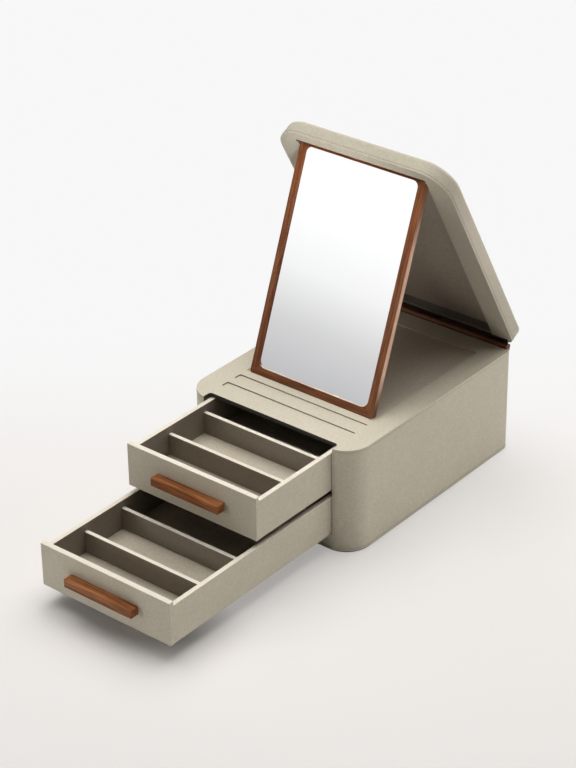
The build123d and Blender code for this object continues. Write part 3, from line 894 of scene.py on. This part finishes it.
def clear_notch(obj, low, high):
    """Rounds the top of the rear corners so that they pass the round corners of the notch."""
    corners = []
    y = high[1] - OPENING_CORNER
    for side, x in ((1, high[0]), (-1, low[0])):
        centre = x - side * OPENING_CORNER
        points = arc(centre, y, OPENING_CORNER, 90, 90 - side * 90, 6)
        past_x, past_y = x + side * SMALL_EXCESS, high[1] + SMALL_EXCESS
        points += [(past_x, y), (past_x, past_y), (centre, past_y)]
        start = DECK_UNDER - CORNER_DROP
        corners.append(cutter("cut_corner", points, start, high[2] + CUTTER_EXCESS))
    cut(obj, corners)
    even_normals(obj)


TO_REAR, TO_LEFT, TO_RIGHT = (0, 1, 0), (-1, 0, 0), (1, 0, 0)
# inner faces take the dark taupe, painted shade of the narrow trays
boards = (hide, edge_paint_and_highlight, lining)
inner_boards = (lining, edge_paint_and_highlight)
for level in ("lower", "upper"):
    body = level + "_drawer"
    name = body + "_"
    front_box = node_box(name + "front")
    front_piece = slabs(name + "front_board", [front_box], boards, FRONT_EDGE, inner=TO_REAR)
    if level == "upper":
        clear_notch(front_piece, *front_box)
    put(front_piece, body, "leather", name + "front")
    for side, inward in (("side_right", TO_LEFT), ("side_left", TO_RIGHT)):
        piece = slabs(name + side + "_board", [node_box(name + side)], boards, inner=inward)
        put(piece, body, "leather", name + side)
    back_piece = slabs(name + "back_board", [node_box(name + "back")], inner_boards)
    put(back_piece, body, "lining", name + "back")
    floor_box = node_box(name + "bottom")
    floor_piece = slabs(name + "floor_board", [floor_box], (tray_floor,), FLOOR_EDGE, 2, False)
    put(floor_piece, body, "lining", name + "bottom")
    low, high = node_box(name + "dividers")
    front_divider = (low, (high[0], low[1] + DIVIDER, high[2]))
    rear_divider = ((low[0], high[1] - DIVIDER, low[2]), high)
    pair = slabs(name + "divider_boards", [front_divider, rear_divider], inner_boards)
    put(pair, body, "lining", name + "dividers")
    bar = slabs(name + "handle_bar", [node_box(name + "handle")], (walnut_bar,), lit=False)
    put(bar, body, "walnut", name + "handle")

# ---- floor ----

FLOOR_HALF = 6.0
FLOOR_TONES = ((0.3, (0.875, 0.850, 0.838)), (0.7, (0.885, 0.860, 0.848)))
BACKDROP_TONES = ((0.0, (0.850, 0.820, 0.80)), (1.0, 0.935))
AWAY = (-0.637, 0.771, 0.0)
FADE = 0.35
# beyond an oval under the lower drawer's front the floor glows for the camera, lightening the
# drawers' shadow: painted light
NEAR_SQUEEZE = (0.55, 1.3, 0.0)
NEAR_MIDDLE = (-0.004, -0.50, 0.0)
NEAR_LIFT = ((0.04, 0.0), (0.06, 0.16), (0.11, 0.40))


def mix_shaders(tree, factor, first, second):
    made = node(tree, "ShaderNodeMixShader")
    for socket, source in zip(made.inputs, (factor, first, second)):
        tree.links.new(source, socket)
    return made.outputs["Shader"]


def floor_paint():
    """Pale paint that goes over into the plain backdrop with distance and, for the camera alone,
    glows towards it: painted light that lightens the drawers' shadow, least in an oval under the
    lower drawer's front."""
    mat, tree, shader = new_material("floor_paint", 0.9, 0.1)
    place = object_place(tree)
    grit = texture(tree, place, Scale=6.0, Detail=3.0)
    tree.links.new(ramp(tree, grit, FLOOR_TONES), shader.inputs["Base Color"])
    depth = maths(tree, "DOT_PRODUCT", place, AWAY, kind="ShaderNodeVectorMath")
    fade = node(tree, "ShaderNodeMapRange", interpolation_type="SMOOTHSTEP")
    fade.inputs["From Min"].default_value = -FADE
    fade.inputs["From Max"].default_value = FADE
    tree.links.new(depth, fade.inputs["Value"])
    faded = fade.outputs["Result"]
    squeezed = maths(
        tree, "MULTIPLY", place, NEAR_SQUEEZE, kind="ShaderNodeVectorMath", result="Vector"
    )
    reach = maths(tree, "DISTANCE", squeezed, NEAR_MIDDLE, kind="ShaderNodeVectorMath")
    far_lift = ramp(tree, faded, ((0.0, 0.0), (1.0, 1.0)))
    lift = maths(tree, "MAXIMUM", far_lift, ramp(tree, reach, NEAR_LIFT))
    camera_ray = node(tree, "ShaderNodeLightPath").outputs["Is Camera Ray"]
    share = maths(tree, "MULTIPLY", lift, camera_ray)
    backdrop = node(tree, "ShaderNodeEmission", Strength=1.0)
    tree.links.new(ramp(tree, faded, BACKDROP_TONES), backdrop.inputs["Color"])
    both = mix_shaders(tree, share, shader.outputs["BSDF"], backdrop.outputs["Emission"])
    tree.links.new(both, tree.nodes["Material Output"].inputs["Surface"])
    return mat


floor_bm = bmesh.new()
low, high = -FLOOR_HALF, FLOOR_HALF
floor_bm.faces.new([floor_bm.verts.new((x, y, 0)) for x, y in box_points(low, high, low, high)])
floor = add_object("floor", floor_bm, floor_paint())

# ---- world: a soft grey sky in the glass, pale for the camera, faint as a light ----

SKY_HEIGHTS = (
    (0.0, 0.48), (0.070, (0.52, 0.52, 0.53)), (0.092, (0.655, 0.655, 0.66)), (0.114, 0.91),
    (0.135, 1.0), (1.0, 0.70),
)
AMBIENT = (1.0, 0.985, 0.965, 1.0)
BEYOND = (0.93, 0.93, 0.93, 1.0)

world = bpy.data.worlds.new("studio")
bpy.context.scene.world = world
world.use_nodes = True
sky = world.node_tree
sky.nodes.clear()
direction = node(sky, "ShaderNodeTexCoord").outputs["Generated"]
height = texture(sky, direction, "ShaderNodeSeparateXYZ", "Z")
path = node(sky, "ShaderNodeLightPath")
reflected = node(sky, "ShaderNodeBackground", Strength=1.05)
sky.links.new(ramp(sky, height, SKY_HEIGHTS), reflected.inputs["Color"])
ambient = node(sky, "ShaderNodeBackground", Color=AMBIENT, Strength=0.012)
seen_beyond = node(sky, "ShaderNodeBackground", Color=BEYOND, Strength=1.0)
glossy_ray, camera_ray = path.outputs["Is Glossy Ray"], path.outputs["Is Camera Ray"]
backgrounds = [made.outputs["Background"] for made in (ambient, reflected, seen_beyond)]
light_or_gloss = mix_shaders(sky, glossy_ray, backgrounds[0], backgrounds[1])
all_rays = mix_shaders(sky, camera_ray, light_or_gloss, backgrounds[2])
sky.links.new(all_rays, node(sky, "ShaderNodeOutputWorld").inputs["Surface"])

# ---- lights, in metres and watts ----

LIGHT_COLOUR = (1.0, 0.985, 0.96)


def area(name, place, target, size, power, spread=180.0):
    """A soft rectangular light aimed at a point, unseen in the glass."""
    light = bpy.data.lights.new(name, "AREA")
    light.shape = "RECTANGLE"
    light.size, light.size_y = size
    light.energy = power
    light.color = LIGHT_COLOUR
    light.spread = math.radians(spread)
    obj = bpy.data.objects.new(name, light)
    obj.location = place
    aim = Vector(target) - Vector(place)
    obj.rotation_euler = aim.to_track_quat("-Z", "Y").to_euler()
    obj.visible_glossy = False
    bpy.context.scene.collection.objects.link(obj)


area("overhead", (-0.18, 0.43, 2.10), (0.0, -0.05, 0.0), (2.3, 2.3), 58.0)
area("front_top", (-0.70, -0.50, 2.10), (0.0, -0.10, 0.0), (1.6, 1.6), 6.0)
area("right_fill", (1.55, 1.40, 0.32), (0.0, 0.0, 0.07), (1.2, 0.5), 11.2)
area("front_softbox", (-0.9, -1.9, 0.60), (0.0, -0.36, 0.05), (0.4, 0.4), 0.22, 32.0)
area("deck_softbox", (0.35, -1.2, 1.90), (0.06, -0.10, 0.133), (0.1, 0.1), 0.0135, 7.0)
area("lid_softbox", (0.55, -0.75, 0.03), (-0.04, 0.0, 0.41), (0.1, 0.1), 0.067, 14.0)
area("lid_side_softbox", (2.0, 0.7, 0.50), (0.12, 0.09, 0.29), (0.1, 0.1), 0.022, 8.0)

# ---- camera, fitted to the photograph: angles in degrees, places in millimetres ----

CAMERA_TURN = 39.57
CAMERA_DOWN = 29.96
CAMERA_ROLL = -0.82
CAMERA_DISTANCE = 2868.58
CAMERA_LEFT = 72.25
CAMERA_UP = 98.55
CAMERA_TARGET_Y = -2.5
FOCAL_PIXELS = 2433.29
IMAGE_HEIGHT = 768.0
SENSOR_HEIGHT = 36.0
SENSOR_WIDTH = 27.0
FAR_CLIP_METRES = 50.0

turn, down, roll = (math.radians(a) for a in (CAMERA_TURN, CAMERA_DOWN, CAMERA_ROLL))
flat = math.cos(down)
forward = Vector((-math.sin(turn) * flat, math.cos(turn) * flat, -math.sin(down)))
level_right = Vector((math.cos(turn), math.sin(turn), 0.0))
level_up = level_right.cross(forward)
right = level_right * math.cos(roll) + level_up * math.sin(roll)
up = level_up * math.cos(roll) - level_right * math.sin(roll)
target = Vector((0.0, CAMERA_TARGET_Y, 0.0))
eye = target - forward * CAMERA_DISTANCE - right * CAMERA_LEFT + up * CAMERA_UP
camera = bpy.data.objects.new("camera", bpy.data.cameras.new("camera"))
camera.data.sensor_fit = "VERTICAL"
camera.data.sensor_height = SENSOR_HEIGHT
camera.data.sensor_width = SENSOR_WIDTH
camera.data.lens = FOCAL_PIXELS * SENSOR_HEIGHT / IMAGE_HEIGHT
camera.data.clip_end = FAR_CLIP_METRES
axes = Matrix((right, up, -forward)).transposed()
camera.matrix_world = Matrix.Translation(eye * MM) @ axes.to_4x4()
bpy.context.scene.collection.objects.link(camera)
bpy.context.scene.camera = camera
bpy.context.scene.view_settings.view_transform = "Standard"
